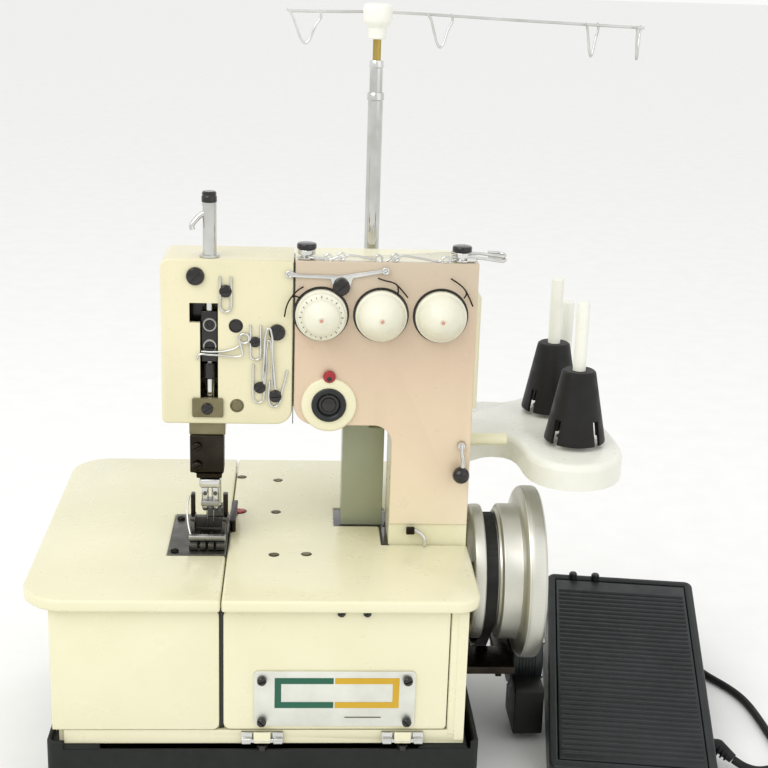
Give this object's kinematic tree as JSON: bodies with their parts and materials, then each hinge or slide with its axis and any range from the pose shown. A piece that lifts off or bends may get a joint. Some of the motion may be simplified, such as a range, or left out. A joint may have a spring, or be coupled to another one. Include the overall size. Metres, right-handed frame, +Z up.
{
  "type": "overlock sewing machine",
  "caption": "Portable overlock machine: box bed on a tray, arm with tension dials, needle head, handwheel with belt-driven motor, spool stand, telescopic thread guide and foot pedal.",
  "frame": {"origin": "on the table, under the middle of the object's box measured without its cord", "axes": "+X to the operator's right, along the main shaft; +Y away from the operator; +Z up"},
  "size_m": [0.5906, 0.4305, 0.584],
  "materials": {
    "cream_enamel": "glossy cream enamel",
    "blush_enamel": "glossy pinkish beige enamel",
    "grey_enamel": "satin grey-green enamel",
    "black_enamel": "satin black-green enamel",
    "white_plastic": "glossy white plastic",
    "black_plastic": "charcoal moulded plastic",
    "red_plastic": "glossy red plastic",
    "dark_steel": "dark polished steel",
    "steel": "ground steel",
    "chrome_plate": "bright chrome plate",
    "turned_aluminium": "lathe-turned aluminium",
    "brass": "polished brass",
    "rubber": "black rubber"
  },
  "bodies": {
    "machine": {"base_tray": "black_enamel", "rubber_foot_front_left": "rubber", "rubber_foot_rear_left": "rubber", "rubber_foot_front_right": "rubber", "rubber_foot_rear_right": "rubber", "main_frame": "cream_enamel", "right_cloth_plate": "cream_enamel", "cover_hinge_left": "chrome_plate", "cover_hinge_right": "chrome_plate", "throat_plate": "dark_steel", "main_bearing": "brass", "timing_belt": "rubber", "motor_body": "black_plastic", "motor_bracket": "black_enamel", "terminal_box": "black_plastic", "arm_casting": "cream_enamel", "arm_front_cover": "blush_enamel", "face_cover": "cream_enamel", "rear_column": "grey_enamel", "oil_window": "black_plastic", "needle_bar_guard": "chrome_plate", "spool_stand": "white_plastic", "spool_pin_front": "white_plastic", "spool_pin_rear": "white_plastic", "spool_pin_spare": "white_plastic", "side_stay": "cream_enamel", "pole_lower": "chrome_plate", "top_guide_rail": "chrome_plate", "guide_plate": "chrome_plate", "pedal_base": "black_plastic", "cord_strain_relief": "rubber", "pedal_cord": "rubber", "pedal_cord_return": "rubber", "cord_coil": "rubber"},
    "side_door": {"left_cover": "cream_enamel", "left_cloth_plate": "cream_enamel"},
    "front_door": {"front_cover": "cream_enamel", "name_plate": "white_plastic"},
    "drive_wheel": {"handwheel": "turned_aluminium", "main_shaft": "steel"},
    "pulley": {"motor_pulley": "steel"},
    "needle_drive": {"needle_bar": "chrome_plate", "needle_guide_block": "black_enamel", "take_up_arm": "chrome_plate"},
    "feed": {"feed_dog": "steel"},
    "looper_arm": {"looper": "steel"},
    "presser": {"presser_bar": "chrome_plate", "presser_foot": "dark_steel"},
    "lifter": {"presser_lifter": "chrome_plate"},
    "dial_left": {"tension_dial_left": "white_plastic"},
    "dial_middle": {"tension_dial_middle": "white_plastic"},
    "dial_right": {"tension_dial_right": "white_plastic"},
    "thread_release": {"release_lever": "black_plastic"},
    "plug": {"oil_plug": "red_plastic"},
    "cone_front": {"spool_cone_front": "black_plastic"},
    "cone_rear": {"spool_cone_rear": "black_plastic"},
    "pole_stage_2": {"pole_middle": "chrome_plate"},
    "pole_stage_3": {"pole_upper": "brass"},
    "guide_head": {"thread_guide_bar": "chrome_plate"},
    "treadle": {"pedal_treadle": "black_plastic"}
  },
  "joints": [
    {"name": "handwheel_turn", "type": "hinge", "parent": "machine", "child": "drive_wheel", "pos_m": [0.07595, -0.00359, 0.15], "axis": [1, 0, 0], "continuous": true},
    {"name": "motor_turn", "type": "hinge", "parent": "machine", "child": "pulley", "pos_m": [0.07595, 0.03641, 0.05977], "axis": [1, 0, 0], "continuous": true},
    {"name": "needle_slide", "type": "slide", "parent": "machine", "child": "needle_drive", "axis": [0, 0, 1], "range_m": [-0.018, 0]},
    {"name": "looper_swing", "type": "hinge", "parent": "machine", "child": "looper_arm", "pos_m": [-0.17855, -0.03259, 0.128], "axis": [0, 1, 0], "range_deg": [0, 22]},
    {"name": "feed_slide", "type": "slide", "parent": "machine", "child": "feed", "axis": [0, 1, 0], "range_m": [-0.002, 0.002]},
    {"name": "lifter_turn", "type": "hinge", "parent": "machine", "child": "lifter", "pos_m": [-0.12305, 0.00341, 0.314], "axis": [0, -1, 0], "range_deg": [0, 35]},
    {"name": "presser_slide", "type": "slide", "parent": "machine", "child": "presser", "axis": [0, 0, 1], "range_m": [0, 0.006]},
    {"name": "dial_left_turn", "type": "hinge", "parent": "machine", "child": "dial_left", "pos_m": [-0.06805, -0.04859, 0.3685], "axis": [0, 1, 0], "range_deg": [-150, 150]},
    {"name": "dial_middle_turn", "type": "hinge", "parent": "machine", "child": "dial_middle", "pos_m": [-0.02485, -0.04859, 0.3685], "axis": [0, 1, 0], "range_deg": [-150, 150]},
    {"name": "dial_right_turn", "type": "hinge", "parent": "machine", "child": "dial_right", "pos_m": [0.01835, -0.04859, 0.3685], "axis": [0, 1, 0], "range_deg": [-150, 150]},
    {"name": "release_turn", "type": "hinge", "parent": "machine", "child": "thread_release", "pos_m": [0.03795, -0.04859, 0.27], "axis": [0, 1, 0], "range_deg": [-28, 28]},
    {"name": "plug_pull", "type": "slide", "parent": "machine", "child": "plug", "axis": [0, -1, 0], "range_m": [0, 0.012]},
    {"name": "side_door_slide", "type": "slide", "parent": "machine", "child": "side_door", "axis": [-1, 0, 0], "range_m": [0, 0.07]},
    {"name": "front_door_turn", "type": "hinge", "parent": "machine", "child": "front_door", "pos_m": [-0.05405, -0.14359, 0.08], "axis": [1, 0, 0], "range_deg": [0, 95]},
    {"name": "cone_front_lift", "type": "slide", "parent": "machine", "child": "cone_front", "axis": [0, 0, 1], "range_m": [0, 0.115]},
    {"name": "cone_rear_lift", "type": "slide", "parent": "machine", "child": "cone_rear", "axis": [0, 0, 1], "range_m": [0, 0.115]},
    {"name": "pole_stage_2_slide", "type": "slide", "parent": "machine", "child": "pole_stage_2", "axis": [0, 0, 1], "range_m": [-0.017, 0.12]},
    {"name": "pole_stage_3_slide", "type": "slide", "parent": "pole_stage_2", "child": "pole_stage_3", "axis": [0, 0, 1], "range_m": [-0.014, 0.11]},
    {"name": "guide_head_turn", "type": "hinge", "parent": "pole_stage_3", "child": "guide_head", "pos_m": [-0.03005, 0.01641, 0.57], "axis": [0, 0, 1], "range_deg": [-90, 90]},
    {"name": "treadle_press", "type": "hinge", "parent": "machine", "child": "treadle", "pos_m": [0.17969, -0.07939, 0.02021], "axis": [-0.9903, 0.1392, 0], "range_deg": [0, 4], "stiffness_Nm_per_rad": 6, "springref_deg": -5.73}
  ],
  "couplings": [
    {"joint": "motor_turn", "follows": "handwheel_turn", "ratio": 5.0909},
    {"joint": "looper_swing", "follows": "needle_slide", "rad_per_m": -21.332},
    {"joint": "feed_slide", "follows": "needle_slide", "ratio": 0.11},
    {"joint": "presser_slide", "follows": "lifter_turn", "m_per_rad": 0.0098}
  ]
}
